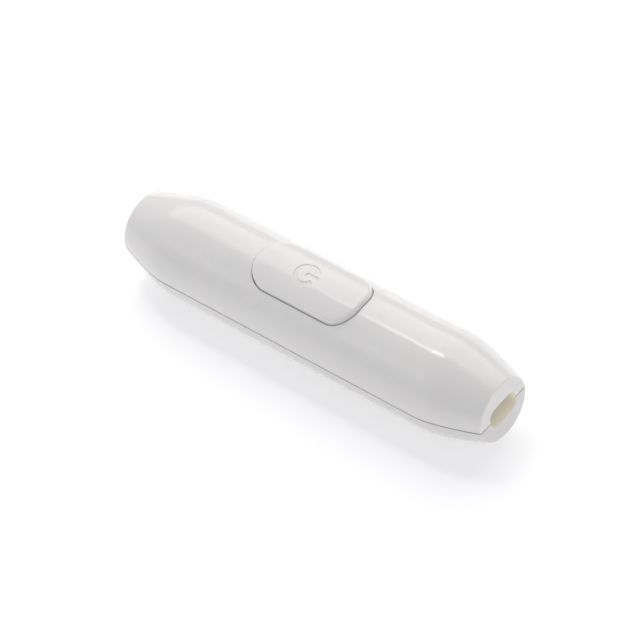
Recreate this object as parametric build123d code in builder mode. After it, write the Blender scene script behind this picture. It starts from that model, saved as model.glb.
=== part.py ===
from build123d import *
import math
import os

# In-line switch for the middle of a flat two-core flex: a spindle-shaped housing in two halves, with a cord
# mouth in each end and a crowned push button on top that works a rocker and its contacts.
# The spindle lies along X and rests on a narrow flat foot at z = 0; the button is on the +Z side.

os.makedirs("parts", exist_ok=True)

# Housing
LENGTH = 80.0
BODY_RADIUS = 9.2
END_RADIUS = 6.1
TAPER_LENGTH = 10.6
TAPER_BULGE = 0.23
SHOULDER_RADIUS = 16.0
END_ROUNDING = 0.45
FOOT_HALF_WIDTH = 3.0
WALL = 1.6
END_WALL = 3.0
PARTING_GROOVE_HEIGHT = 0.16
PARTING_GROOVE_DEPTH = 0.25

# Cord mouths, for a flat flex
MOUTH_WIDTH = 6.9
MOUTH_HEIGHT = 4.3
MOUTH_CORNER = 1.7
MOUTH_EDGE = 0.15

# Push button and its opening
BUTTON_LENGTH = 22.8
BUTTON_WIDTH = 10.7
BUTTON_CORNER = 4.5
BUTTON_GAP = 0.12
OPENING_EDGE = 0.12
BUTTON_PROUD = 0.8
BUTTON_EDGE = 0.9
BUTTON_SIDE_WALL = 1.3
BUTTON_CROWN_WALL = 1.6
CROWN_EXTRA = 1.2
BUTTON_TRAVEL = 1.6
LUG_REACH = 1.1
LUG_HEIGHT = 0.9
LUG_WIDTH = 5.0
COLLAR_WALL = 1.0
MOVING_CLEARANCE = 0.3

# Standby symbol sunk in the button
SYMBOL_X = -0.9
SYMBOL_RADIUS = 1.98
SYMBOL_STROKE = 0.65
SYMBOL_DEPTH = 0.18
SYMBOL_RIM = 0.12
SYMBOL_GAP_ANGLE = 60.0
SYMBOL_BAR_END = 2.5

# Housing screws, driven from below
CLAMP_FROM_END = 12.5
SCREW_FROM_CLAMP = 5.0
SCREW_SHANK_RADIUS = 1.1
SCREW_HEAD_RADIUS = 2.0
SCREW_HEAD_HEIGHT = 1.3
SCREW_HEAD_RECESS = 0.5
SCREW_CLEARANCE = 0.2
SCREW_GRIP = 5.0
LOWER_BOSS_RADIUS = 2.9
UPPER_BOSS_RADIUS = 2.6

# Cord clamps
CLAMP_WIDTH = 3.6
CLAMP_LENGTH = 11.2
CLAMP_THICKNESS = 1.6
CLAMP_UNDERSIDE = 1.5
CLAMP_RIB_WIDTH = 0.8
CLAMP_RIB_HEIGHT = 0.5
CLAMP_RIB_LENGTH = 5.4
SADDLE_TOP = -1.7
CLAMP_SCREW_Y = 4.2
CLAMP_SCREW_SHANK = 0.7
CLAMP_SCREW_HEAD = 1.3
CLAMP_SCREW_HEAD_HEIGHT = 1.0
CLAMP_SCREW_GRIP = 3.6
CLAMP_BOSS_RADIUS = 1.4

# Contact base
BASE_FROM_SCREW = 3.4
BASE_HALF_WIDTH = 4.4
BASE_THICKNESS = 1.6
BASE_FIT = 0.15
SEAT_RIB_X = 11.0
SEAT_RIB_WIDTH = 1.2
CHEEK_INNER_Y = 3.0
CHEEK_THICKNESS = 1.2
CHEEK_RADIUS = 1.7
PIVOT_RISE = 3.65
AXLE_RADIUS = 0.75
AXLE_RUNNING_FIT = 0.05
WELL_RADIUS = 1.6
WELL_BORE = 0.9
WELL_FLOOR = 0.5
WELL_DEPTH = 1.05
WELL_RISE = 1.0
BARRIER_THICKNESS = 0.8

# Rocker, tilted at rest with its +X arm up
ROCKER_TILT = 10.0
ROCKER_HUB_RADIUS = 1.7
ROCKER_HUB_HALF_WIDTH = 2.8
ROCKER_ARM_LENGTH = 5.4
ROCKER_ARM_HALF_HEIGHT = 0.8
ROCKER_ARM_HALF_WIDTH = 2.0
CAM_DEPTH = 2.1
CAM_HALF_WIDTH = 1.3
WINDOW_X = -4.1
WINDOW_WIDTH = 1.6
WINDOW_HALF_HEIGHT = 1.4
WINDOW_RIM = 0.65
CARRIER_HALF_WIDTH = 1.4

# Live parts
BRIDGE_FIT = 0.1
BRIDGE_THICKNESS = 0.6
BRIDGE_HALF_LENGTH = 3.2
CONTACT_Y = 2.4
CONTACT_RADIUS = 0.7
CONTACT_THICKNESS = 0.5
CONTACT_GAP = 0.1
RIVET_SHANK = 0.4
STRIP_THICKNESS = 0.4
STRIP_WIDTH = 0.9
PAD_LENGTH = 2.0
PAD_WIDTH = 1.5
CROSSING_X = 12.4
TERMINAL_FROM_BASE_END = 2.6
TERMINAL_Y = 3.0
TERMINAL_LENGTH = 4.0
TERMINAL_WIDTH = 2.8
TERMINAL_HEIGHT = 3.8
WIRE_BORE = 0.95
WIRE_BORE_RISE = 1.4
LINK_THICKNESS = 0.5
LINK_HEIGHT = 2.0
TERMINAL_SCREW_SHANK = 0.8
TERMINAL_SCREW_HEAD = 1.3
TERMINAL_SCREW_HEAD_HEIGHT = 1.0

# Springs, plunger and pusher
SPRING_X = 8.0
SPRING_RADIUS = 1.4
SPRING_WIRE = 0.35
SPRING_PEG_RADIUS = 0.8
SPRING_PEG_HEIGHT = 1.2
SPRING_SEAT_DROP = 3.2
PLUNGER_RADIUS = 0.82
PLUNGER_LENGTH = 1.6
PLUNGER_GAP = 0.1
BRIDGE_SPRING_RADIUS = 0.7
BRIDGE_SPRING_WIRE = 0.2
PUSH_POINT = 4.3
PUSH_GAP = 0.3
PUSHER_TIP_RADIUS = 0.5
PUSHER_HUB_RADIUS = 1.1
PUSHER_HALF_WIDTH = 0.8
PUSHER_PIN_RADIUS = 0.55
PUSHER_PIN_RISE = 5.4
FORK_PLATE_THICKNESS = 0.8
FORK_FIT = 0.1
FORK_WIDTH = 2.6

# Screwdriver slots
SLOT_WIDTH = 0.4
SLOT_DEPTH = 0.5

# Heights and places that follow from the sizes above
AXIS_Z = math.sqrt(BODY_RADIUS**2 - FOOT_HALF_WIDTH**2)
INNER_RADIUS = BODY_RADIUS - WALL
CROWN_RADIUS = BODY_RADIUS + BUTTON_PROUD
CLAMP_X = LENGTH / 2 - CLAMP_FROM_END
SCREW_X = CLAMP_X - SCREW_FROM_CLAMP
BASE_HALF_LENGTH = SCREW_X - BASE_FROM_SCREW
TERMINAL_X = BASE_HALF_LENGTH - TERMINAL_FROM_BASE_END
BASE_BOTTOM = AXIS_Z - math.sqrt(INNER_RADIUS**2 - BASE_HALF_WIDTH**2) + BASE_FIT
BASE_TOP = BASE_BOTTOM + BASE_THICKNESS
PIVOT_Z = BASE_TOP + PIVOT_RISE
SKIRT_BOTTOM = PIVOT_Z + CHEEK_RADIUS + BUTTON_TRAVEL + MOVING_CLEARANCE
COLLAR_BOTTOM = SKIRT_BOTTOM + LUG_HEIGHT + MOVING_CLEARANCE
CEILING = AXIS_Z + CROWN_RADIUS - BUTTON_CROWN_WALL
SPRING_TOP = CEILING - SPRING_SEAT_DROP
PUSHER_PIN_Z = PIVOT_Z + PUSHER_PIN_RISE
TILT = math.radians(ROCKER_TILT)
TOP = AXIS_Z + 2 * BODY_RADIUS

SPINDLE_AXIS = Axis((0, 0, AXIS_Z), (1, 0, 0))
PARTING = Plane.XY.offset(AXIS_Z)
UPRIGHT = Plane(origin=(0, 0, AXIS_Z), x_dir=(1, 0, 0), z_dir=(0, -1, 0))
ROCKER_SIDE = Plane(
    origin=(0, 0, PIVOT_Z), x_dir=(math.cos(TILT), 0, math.sin(TILT)), z_dir=(0, -1, 0)
)
ROCKER_TOP = Plane(
    origin=(0, 0, PIVOT_Z),
    x_dir=(math.cos(TILT), 0, math.sin(TILT)),
    z_dir=(-math.sin(TILT), 0, math.cos(TILT)),
)


def half_profile(plane, inset, end_inset):
    """Half of the spindle's long section on one side of its axis, drawn inside the outer skin."""
    end_x = LENGTH / 2 - end_inset
    slope = (BODY_RADIUS - END_RADIUS) / TAPER_LENGTH
    end_radius = END_RADIUS - inset + slope * end_inset
    shoulder_x = LENGTH / 2 - TAPER_LENGTH
    radius = BODY_RADIUS - inset
    with BuildSketch(plane) as profile:
        with BuildLine():
            Line((end_x, 0), (end_x, end_radius))
            SagittaArc((end_x, end_radius), (shoulder_x, radius), -TAPER_BULGE)
            Line((shoulder_x, radius), (0, radius))
            mirror(about=Plane.YZ)
            Line((-end_x, 0), (end_x, 0))
        make_face()
        shoulders = profile.vertices().filter_by(lambda v: math.isclose(abs(v.X), shoulder_x, abs_tol=1e-6))
        fillet(shoulders, radius=SHOULDER_RADIUS)
    return profile.sketch.faces()


def save(piece, name):
    """Label a finished piece and write its STEP file."""
    piece.part.label = name
    export_step(piece.part, f"parts/{name}.step")


# Solid spindle that trims what stands on the inside of the walls
with BuildPart() as core:
    revolve(half_profile(UPRIGHT, WALL / 2, END_WALL / 2), axis=SPINDLE_AXIS)

# Both halves before they are parted: the hollow spindle with its cord mouths and parting groove
with BuildPart() as spindle:
    revolve(half_profile(UPRIGHT, 0, 0), axis=SPINDLE_AXIS)
    rims = spindle.edges().filter_by(GeomType.CIRCLE).group_by(Axis.X)
    fillet(rims[0] + rims[-1], radius=END_ROUNDING)
    revolve(half_profile(UPRIGHT, WALL, END_WALL), axis=SPINDLE_AXIS, mode=Mode.SUBTRACT)
    with BuildSketch(Plane.YZ):
        with Locations((0, AXIS_Z)):
            RectangleRounded(MOUTH_WIDTH, MOUTH_HEIGHT, MOUTH_CORNER)
    extrude(amount=LENGTH, both=True, mode=Mode.SUBTRACT)
    end_faces = spindle.faces().filter_by(Plane.YZ).group_by(Axis.X)
    mouth_rims = [face.inner_wires().edges() for face in (end_faces[0][0], end_faces[-1][0])]
    fillet(mouth_rims[0] + mouth_rims[1], radius=MOUTH_EDGE)
    with BuildSketch(PARTING):
        add(half_profile(Plane.XY, -PARTING_GROOVE_DEPTH, -PARTING_GROOVE_DEPTH))
        add(half_profile(Plane.XY, PARTING_GROOVE_DEPTH, PARTING_GROOVE_DEPTH), mode=Mode.SUBTRACT)
        mirror(about=Plane.XZ)
    extrude(amount=PARTING_GROOVE_HEIGHT / 2, both=True, mode=Mode.SUBTRACT)

# What stands on the lower half's floor: screw bosses, clamp bosses and saddles, and seats for the base
with BuildPart() as lower_furniture:
    with BuildSketch(Plane.XY):
        with Locations((-SCREW_X, 0), (SCREW_X, 0)):
            Circle(LOWER_BOSS_RADIUS)
    extrude(amount=AXIS_Z)
    with BuildSketch(Plane.XY):
        with GridLocations(2 * CLAMP_X, 2 * CLAMP_SCREW_Y, 2, 2):
            Circle(CLAMP_BOSS_RADIUS)
    extrude(amount=AXIS_Z + CLAMP_UNDERSIDE)
    with BuildSketch(Plane.XY):
        with Locations((-CLAMP_X, 0), (CLAMP_X, 0)):
            Rectangle(CLAMP_WIDTH, 2 * CLAMP_SCREW_Y)
    extrude(amount=AXIS_Z + SADDLE_TOP)
    with BuildSketch(Plane.XY):
        with Locations((-SEAT_RIB_X, 0), (SEAT_RIB_X, 0)):
            Rectangle(SEAT_RIB_WIDTH, 2 * INNER_RADIUS)
    extrude(amount=BASE_BOTTOM)
    add(core.part, mode=Mode.INTERSECT)

with BuildPart() as lower_shell:
    add(spindle.part)
    split(bisect_by=PARTING, keep=Keep.BOTTOM)
    add(lower_furniture.part)
    split(bisect_by=Plane.XY, keep=Keep.TOP)
    with BuildSketch(Plane.XY):
        with Locations((-SCREW_X, 0), (SCREW_X, 0)):
            Circle(SCREW_SHANK_RADIUS + SCREW_CLEARANCE)
    extrude(amount=AXIS_Z, mode=Mode.SUBTRACT)
    with BuildSketch(Plane.XY):
        with Locations((-SCREW_X, 0), (SCREW_X, 0)):
            Circle(SCREW_HEAD_RADIUS + SCREW_CLEARANCE)
    extrude(amount=SCREW_HEAD_RECESS + SCREW_HEAD_HEIGHT, mode=Mode.SUBTRACT)
    with BuildSketch(Plane.XY.offset(AXIS_Z + CLAMP_UNDERSIDE)):
        with GridLocations(2 * CLAMP_X, 2 * CLAMP_SCREW_Y, 2, 2):
            Circle(CLAMP_SCREW_SHANK)
    extrude(amount=-CLAMP_SCREW_GRIP, mode=Mode.SUBTRACT)
save(lower_shell, "lower_shell")

# What hangs in the upper half: screw bosses and the collar that guides the button
with BuildPart() as upper_furniture:
    with BuildSketch(PARTING):
        with Locations((-SCREW_X, 0), (SCREW_X, 0)):
            Circle(UPPER_BOSS_RADIUS)
    extrude(amount=TOP)
    with BuildSketch(Plane.XY.offset(COLLAR_BOTTOM)):
        RectangleRounded(
            BUTTON_LENGTH + 2 * (BUTTON_GAP + COLLAR_WALL),
            BUTTON_WIDTH + 2 * (BUTTON_GAP + COLLAR_WALL),
            BUTTON_CORNER + BUTTON_GAP + COLLAR_WALL,
        )
    extrude(amount=TOP)
    add(core.part, mode=Mode.INTERSECT)

with BuildPart() as upper_shell:
    add(spindle.part)
    split(bisect_by=PARTING, keep=Keep.TOP)
    add(upper_furniture.part)
    with BuildSketch(PARTING):
        RectangleRounded(
            BUTTON_LENGTH + 2 * BUTTON_GAP, BUTTON_WIDTH + 2 * BUTTON_GAP, BUTTON_CORNER + BUTTON_GAP
        )
    extrude(amount=TOP, mode=Mode.SUBTRACT)
    skin = upper_shell.faces().sort_by(Axis.Z)[-1]
    fillet(skin.inner_wires().edges(), radius=OPENING_EDGE)
    with BuildSketch(PARTING):
        with Locations((-SCREW_X, 0), (SCREW_X, 0)):
            Circle(SCREW_SHANK_RADIUS)
    extrude(amount=SCREW_GRIP, mode=Mode.SUBTRACT)
save(upper_shell, "upper_shell")

# Two cross-head screws with their heads sunk in the foot
SCREW_HEAD_TOP = SCREW_HEAD_RECESS + SCREW_HEAD_HEIGHT
with BuildPart() as housing_screws:
    with BuildSketch(Plane.XY.offset(SCREW_HEAD_RECESS)):
        with Locations((-SCREW_X, 0), (SCREW_X, 0)):
            Circle(SCREW_HEAD_RADIUS)
    extrude(amount=SCREW_HEAD_HEIGHT)
    with BuildSketch(Plane.XY.offset(SCREW_HEAD_TOP)):
        with Locations((-SCREW_X, 0), (SCREW_X, 0)):
            Circle(SCREW_SHANK_RADIUS)
    extrude(amount=AXIS_Z + SCREW_GRIP - SCREW_HEAD_TOP)
    with BuildSketch(Plane.XY.offset(SCREW_HEAD_RECESS)):
        with Locations((-SCREW_X, 0), (SCREW_X, 0)):
            Rectangle(SCREW_HEAD_RADIUS, SLOT_WIDTH)
            Rectangle(SLOT_WIDTH, SCREW_HEAD_RADIUS)
    extrude(amount=SLOT_DEPTH, mode=Mode.SUBTRACT)
save(housing_screws, "housing_screws")

# A clamp bar over the flex at each end, held by two slotted screws
CLAMP_TOP = AXIS_Z + CLAMP_UNDERSIDE + CLAMP_THICKNESS
for side, name in ((-1, "left"), (1, "right")):
    with BuildPart() as cord_clamp:
        with BuildSketch(Plane.XY.offset(AXIS_Z + CLAMP_UNDERSIDE)):
            with Locations((side * CLAMP_X, 0)):
                RectangleRounded(CLAMP_WIDTH, CLAMP_LENGTH, CLAMP_WIDTH / 3)
            with Locations((side * CLAMP_X, CLAMP_SCREW_Y), (side * CLAMP_X, -CLAMP_SCREW_Y)):
                Circle(CLAMP_SCREW_SHANK, mode=Mode.SUBTRACT)
        extrude(amount=CLAMP_THICKNESS)
        with BuildSketch(Plane.XY.offset(AXIS_Z + CLAMP_UNDERSIDE)):
            with Locations((side * CLAMP_X, 0)):
                Rectangle(CLAMP_RIB_WIDTH, CLAMP_RIB_LENGTH)
        extrude(amount=-CLAMP_RIB_HEIGHT)
    save(cord_clamp, f"cord_clamp_{name}")

    with BuildPart() as clamp_screws:
        with BuildSketch(Plane.XY.offset(CLAMP_TOP)):
            with Locations((side * CLAMP_X, CLAMP_SCREW_Y), (side * CLAMP_X, -CLAMP_SCREW_Y)):
                Circle(CLAMP_SCREW_HEAD)
        extrude(amount=CLAMP_SCREW_HEAD_HEIGHT)
        with BuildSketch(Plane.XY.offset(CLAMP_TOP)):
            with Locations((side * CLAMP_X, CLAMP_SCREW_Y), (side * CLAMP_X, -CLAMP_SCREW_Y)):
                Circle(CLAMP_SCREW_SHANK)
        extrude(amount=-CLAMP_THICKNESS - CLAMP_SCREW_GRIP)
        with BuildSketch(Plane.XY.offset(CLAMP_TOP + CLAMP_SCREW_HEAD_HEIGHT)):
            with Locations((side * CLAMP_X, CLAMP_SCREW_Y), (side * CLAMP_X, -CLAMP_SCREW_Y)):
                Rectangle(2 * CLAMP_SCREW_HEAD, SLOT_WIDTH)
        extrude(amount=-SLOT_DEPTH, mode=Mode.SUBTRACT)
    save(clamp_screws, f"clamp_screws_{name}")

# Moulded base: floor, two cheeks for the rocker's axle, the detent well, spring pegs and terminal barriers
with BuildPart() as contact_base:
    with BuildSketch(Plane.XY.offset(BASE_BOTTOM)):
        Rectangle(2 * BASE_HALF_LENGTH, 2 * BASE_HALF_WIDTH)
    extrude(amount=BASE_THICKNESS)
    with BuildSketch(Plane.XY.offset(BASE_BOTTOM - WELL_DEPTH)):
        Circle(WELL_RADIUS)
    extrude(amount=WELL_DEPTH + BASE_THICKNESS + WELL_RISE)
    with BuildSketch(Plane.XY.offset(BASE_BOTTOM - WELL_DEPTH + WELL_FLOOR)):
        Circle(WELL_BORE)
    extrude(amount=TOP, mode=Mode.SUBTRACT)
    for cheek_y in (-CHEEK_INNER_Y, CHEEK_INNER_Y + CHEEK_THICKNESS):
        with BuildSketch(Plane.XZ.offset(-cheek_y)):
            with Locations((0, PIVOT_Z)):
                Circle(CHEEK_RADIUS)
            with Locations((0, BASE_TOP)):
                Rectangle(2 * CHEEK_RADIUS, PIVOT_RISE, align=(Align.CENTER, Align.MIN))
            with Locations((0, PIVOT_Z)):
                Circle(AXLE_RADIUS, mode=Mode.SUBTRACT)
        extrude(amount=CHEEK_THICKNESS)
    with BuildSketch(Plane.XY.offset(BASE_TOP)):
        with Locations((-SPRING_X, 0), (SPRING_X, 0)):
            Circle(SPRING_PEG_RADIUS)
    extrude(amount=SPRING_PEG_HEIGHT)
    with BuildSketch(Plane.XY.offset(BASE_TOP)):
        with Locations((-TERMINAL_X, 0), (TERMINAL_X, 0)):
            Rectangle(TERMINAL_LENGTH, BARRIER_THICKNESS)
    extrude(amount=TERMINAL_HEIGHT)
save(contact_base, "contact_base")

# Fixed contacts under the ends of the bridge, each on its strip
contact_tip_x = WINDOW_X * math.cos(TILT) + (WINDOW_HALF_HEIGHT + CONTACT_THICKNESS) * math.sin(TILT)
moving_face_z = (
    PIVOT_Z
    + WINDOW_X * math.sin(TILT)
    - (WINDOW_HALF_HEIGHT + CONTACT_THICKNESS) * math.cos(TILT)
    - CONTACT_RADIUS * math.sin(TILT)
)
STRIP_TOP = BASE_TOP + STRIP_THICKNESS
with BuildPart() as fixed_contacts:
    with BuildSketch(Plane.XY.offset(STRIP_TOP)):
        with Locations((contact_tip_x, -CONTACT_Y), (contact_tip_x, CONTACT_Y)):
            Circle(CONTACT_RADIUS)
    extrude(amount=moving_face_z - CONTACT_GAP - STRIP_TOP)
    with BuildSketch(Plane.XY.offset(STRIP_TOP)):
        with Locations((contact_tip_x, -CONTACT_Y), (contact_tip_x, CONTACT_Y)):
            Circle(RIVET_SHANK)
    extrude(amount=-STRIP_THICKNESS)
save(fixed_contacts, "fixed_contacts")

# Live side: a pillar at each end with a flat strip to one of the fixed contacts
line_in_route = [(contact_tip_x, -CONTACT_Y), (-TERMINAL_X, -CONTACT_Y)]
line_out_route = [
    (contact_tip_x, CONTACT_Y),
    (CROSSING_X, CONTACT_Y),
    (CROSSING_X, -TERMINAL_Y),
    (TERMINAL_X, -TERMINAL_Y),
]
for name, side, route in (("line_in", -1, line_in_route), ("line_out", 1, line_out_route)):
    with BuildPart() as line_terminal:
        with BuildSketch(Plane.XY.offset(BASE_TOP)):
            for start, end in zip(route[:-1], route[1:]):
                with Locations(((start[0] + end[0]) / 2, (start[1] + end[1]) / 2)):
                    Rectangle(abs(end[0] - start[0]) + STRIP_WIDTH, abs(end[1] - start[1]) + STRIP_WIDTH)
            with Locations(route[0]):
                Rectangle(PAD_LENGTH, PAD_WIDTH)
                Circle(RIVET_SHANK, mode=Mode.SUBTRACT)
        extrude(amount=STRIP_THICKNESS)
        with BuildSketch(Plane.XY.offset(BASE_TOP)):
            with Locations((side * TERMINAL_X, -TERMINAL_Y)):
                RectangleRounded(TERMINAL_LENGTH, TERMINAL_WIDTH, STRIP_THICKNESS)
        extrude(amount=TERMINAL_HEIGHT)
        with BuildSketch(Plane.YZ):
            with Locations((-TERMINAL_Y, BASE_TOP + WIRE_BORE_RISE)):
                Circle(WIRE_BORE)
        extrude(amount=side * LENGTH, mode=Mode.SUBTRACT)
        with BuildSketch(Plane.XY.offset(BASE_TOP + TERMINAL_HEIGHT)):
            with Locations((side * TERMINAL_X, -TERMINAL_Y)):
                Circle(TERMINAL_SCREW_SHANK)
        extrude(amount=WIRE_BORE_RISE - TERMINAL_HEIGHT, mode=Mode.SUBTRACT)
    save(line_terminal, f"{name}_terminal")

# Unswitched side: one link outside the cheeks with a pillar at each end
with BuildPart() as neutral_link:
    with BuildSketch(Plane.XY.offset(BASE_TOP)):
        with Locations((-TERMINAL_X, TERMINAL_Y), (TERMINAL_X, TERMINAL_Y)):
            RectangleRounded(TERMINAL_LENGTH, TERMINAL_WIDTH, STRIP_THICKNESS)
    extrude(amount=TERMINAL_HEIGHT)
    with BuildSketch(Plane.XY.offset(BASE_TOP)):
        with Locations((0, TERMINAL_Y + TERMINAL_WIDTH / 2)):
            Rectangle(2 * TERMINAL_X, LINK_THICKNESS, align=(Align.CENTER, Align.MIN))
    extrude(amount=LINK_HEIGHT)
    with BuildSketch(Plane.YZ):
        with Locations((TERMINAL_Y, BASE_TOP + WIRE_BORE_RISE)):
            Circle(WIRE_BORE)
    extrude(amount=LENGTH, both=True, mode=Mode.SUBTRACT)
    with BuildSketch(Plane.XY.offset(BASE_TOP + TERMINAL_HEIGHT)):
        with Locations((-TERMINAL_X, TERMINAL_Y), (TERMINAL_X, TERMINAL_Y)):
            Circle(TERMINAL_SCREW_SHANK)
    extrude(amount=WIRE_BORE_RISE - TERMINAL_HEIGHT, mode=Mode.SUBTRACT)
save(neutral_link, "neutral_link")

# Slotted screws that clamp the cores in the pillars
for name, screw_y in (("live", -TERMINAL_Y), ("neutral", TERMINAL_Y)):
    with BuildPart() as terminal_screws:
        with BuildSketch(Plane.XY.offset(BASE_TOP + TERMINAL_HEIGHT)):
            with Locations((-TERMINAL_X, screw_y), (TERMINAL_X, screw_y)):
                Circle(TERMINAL_SCREW_HEAD)
        extrude(amount=TERMINAL_SCREW_HEAD_HEIGHT)
        with BuildSketch(Plane.XY.offset(BASE_TOP + TERMINAL_HEIGHT)):
            with Locations((-TERMINAL_X, screw_y), (TERMINAL_X, screw_y)):
                Circle(TERMINAL_SCREW_SHANK)
        extrude(amount=WIRE_BORE_RISE - TERMINAL_HEIGHT)
        with BuildSketch(Plane.XY.offset(BASE_TOP + TERMINAL_HEIGHT + TERMINAL_SCREW_HEAD_HEIGHT)):
            with Locations((-TERMINAL_X, screw_y), (TERMINAL_X, screw_y)):
                Rectangle(2 * TERMINAL_SCREW_HEAD, SLOT_WIDTH)
        extrude(amount=-SLOT_DEPTH, mode=Mode.SUBTRACT)
    save(terminal_screws, f"{name}_terminal_screws")

# Axle of the rocker, held in the cheeks
with BuildPart() as rocker_axle:
    with BuildSketch(Plane.XZ):
        with Locations((0, PIVOT_Z)):
            Circle(AXLE_RADIUS)
    extrude(amount=CHEEK_INNER_Y + CHEEK_THICKNESS, both=True)
save(rocker_axle, "rocker_axle")

# Spring-loaded plunger under the rocker's cam
PLUNGER_TOP = PIVOT_Z - CAM_DEPTH - PLUNGER_GAP
WELL_FLOOR_Z = BASE_BOTTOM - WELL_DEPTH + WELL_FLOOR
with BuildPart() as detent_plunger:
    with BuildSketch(Plane.XY.offset(PLUNGER_TOP)):
        Circle(PLUNGER_RADIUS)
    extrude(amount=-PLUNGER_LENGTH)
    fillet(detent_plunger.edges().group_by(Axis.Z)[-1], radius=PLUNGER_RADIUS / 2)
save(detent_plunger, "detent_plunger")

with BuildPart() as detent_spring:
    with BuildSketch(Plane.XY.offset(WELL_FLOOR_Z)):
        Circle(PLUNGER_RADIUS)
        Circle(PLUNGER_RADIUS - BRIDGE_SPRING_WIRE, mode=Mode.SUBTRACT)
    extrude(amount=PLUNGER_TOP - PLUNGER_LENGTH - WELL_FLOOR_Z)
save(detent_spring, "detent_spring")

# Return springs between the base's pegs and the button's
for side, name in ((-1, "left"), (1, "right")):
    with BuildPart() as return_spring:
        with BuildSketch(Plane.XY.offset(BASE_TOP)):
            with Locations((side * SPRING_X, 0)):
                Circle(SPRING_RADIUS)
                Circle(SPRING_RADIUS - SPRING_WIRE, mode=Mode.SUBTRACT)
        extrude(amount=SPRING_TOP - BASE_TOP)
    save(return_spring, f"return_spring_{name}")

# Standby symbol: a ring open towards +X and a bar out of its middle
with BuildPart() as symbol:
    with BuildSketch(PARTING):
        with Locations((SYMBOL_X, 0)):
            Circle(SYMBOL_RADIUS + SYMBOL_STROKE / 2)
            Circle(SYMBOL_RADIUS - SYMBOL_STROKE / 2, mode=Mode.SUBTRACT)
        gap_half = SYMBOL_BAR_END * math.tan(math.radians(SYMBOL_GAP_ANGLE / 2))
        with BuildLine():
            Polyline(
                (SYMBOL_X, 0),
                (SYMBOL_X + SYMBOL_BAR_END, gap_half),
                (SYMBOL_X + SYMBOL_BAR_END, -gap_half),
                close=True,
            )
        make_face(mode=Mode.SUBTRACT)
        with Locations((SYMBOL_X + SYMBOL_BAR_END / 2, 0)):
            Rectangle(SYMBOL_BAR_END, SYMBOL_STROKE)
    extrude(amount=TOP)
    with BuildSketch(Plane.YZ):
        with Locations((0, AXIS_Z)):
            Circle(CROWN_RADIUS + SYMBOL_DEPTH)
            Circle(CROWN_RADIUS - SYMBOL_DEPTH, mode=Mode.SUBTRACT)
    extrude(amount=LENGTH, both=True, mode=Mode.INTERSECT)

# Hollow crowned button with spring pegs, the pusher's fork and retaining lugs under the collar
with BuildPart() as push_button:
    with BuildSketch(Plane.XY.offset(SKIRT_BOTTOM)):
        RectangleRounded(BUTTON_LENGTH, BUTTON_WIDTH, BUTTON_CORNER)
    extrude(amount=TOP)
    with BuildSketch(Plane.YZ):
        with Locations((0, AXIS_Z)):
            Circle(CROWN_RADIUS)
    extrude(amount=LENGTH, both=True, mode=Mode.INTERSECT)
    crown = push_button.faces().sort_by(Axis.Z)[-1]
    fillet(crown.edges(), radius=BUTTON_EDGE)
    with BuildSketch(Plane.XY.offset(SKIRT_BOTTOM)):
        RectangleRounded(
            BUTTON_LENGTH - 2 * BUTTON_SIDE_WALL,
            BUTTON_WIDTH - 2 * BUTTON_SIDE_WALL,
            BUTTON_CORNER - BUTTON_SIDE_WALL,
        )
    extrude(amount=CEILING - SKIRT_BOTTOM - CROWN_EXTRA, mode=Mode.SUBTRACT)
    with BuildSketch(Plane.XY.offset(SPRING_TOP - SPRING_PEG_HEIGHT)):
        with Locations((-SPRING_X, 0), (SPRING_X, 0)):
            Circle(SPRING_PEG_RADIUS)
    extrude(amount=CEILING - SPRING_TOP + SPRING_PEG_HEIGHT)
    with BuildSketch(Plane.XY.offset(SPRING_TOP)):
        with Locations((-SPRING_X, 0), (SPRING_X, 0)):
            Circle(SPRING_RADIUS)
    extrude(amount=CEILING - SPRING_TOP)
    fork_y = PUSHER_HALF_WIDTH + FORK_FIT + FORK_PLATE_THICKNESS / 2
    with BuildSketch(Plane.XY.offset(PUSHER_PIN_Z)):
        with Locations((0, -fork_y), (0, fork_y)):
            Rectangle(FORK_WIDTH, FORK_PLATE_THICKNESS)
    extrude(amount=CEILING - PUSHER_PIN_Z)
    for plate_y in (-fork_y, fork_y):
        with BuildSketch(Plane.XZ.offset(-plate_y)):
            with Locations((0, PUSHER_PIN_Z)):
                Circle(FORK_WIDTH / 2)
        extrude(amount=FORK_PLATE_THICKNESS / 2, both=True)
    with BuildSketch(Plane.XZ):
        with Locations((0, PUSHER_PIN_Z)):
            Circle(PUSHER_PIN_RADIUS)
    extrude(amount=fork_y + FORK_PLATE_THICKNESS, both=True, mode=Mode.SUBTRACT)
    with BuildSketch(Plane.XY.offset(SKIRT_BOTTOM)):
        Rectangle(BUTTON_LENGTH + 2 * LUG_REACH, LUG_WIDTH)
        Rectangle(BUTTON_LENGTH - 2 * BUTTON_SIDE_WALL, LUG_WIDTH, mode=Mode.SUBTRACT)
    extrude(amount=LUG_HEIGHT)
    add(symbol.part, mode=Mode.SUBTRACT)
    crown = push_button.faces().filter_by(GeomType.CYLINDER).sort_by(Axis.Z)[-1]
    chamfer(crown.inner_wires().edges(), length=SYMBOL_RIM)
save(push_button, "push_button")

# Claw that hangs in the fork and bears on the raised arm of the rocker
claw_x = PUSH_POINT * math.cos(TILT) - ROCKER_ARM_HALF_HEIGHT * math.sin(TILT)
claw_z = PIVOT_Z + PUSH_POINT * math.sin(TILT) + ROCKER_ARM_HALF_HEIGHT * math.cos(TILT) + PUSH_GAP
with BuildPart() as pusher:
    with BuildSketch(Plane.XZ):
        with Locations((0, PUSHER_PIN_Z)):
            Circle(PUSHER_HUB_RADIUS)
        with Locations((claw_x, claw_z + PUSHER_TIP_RADIUS)):
            Circle(PUSHER_TIP_RADIUS)
        make_hull()
        with Locations((0, PUSHER_PIN_Z)):
            Circle(PUSHER_PIN_RADIUS, mode=Mode.SUBTRACT)
    extrude(amount=PUSHER_HALF_WIDTH, both=True)
save(pusher, "pusher")

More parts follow.
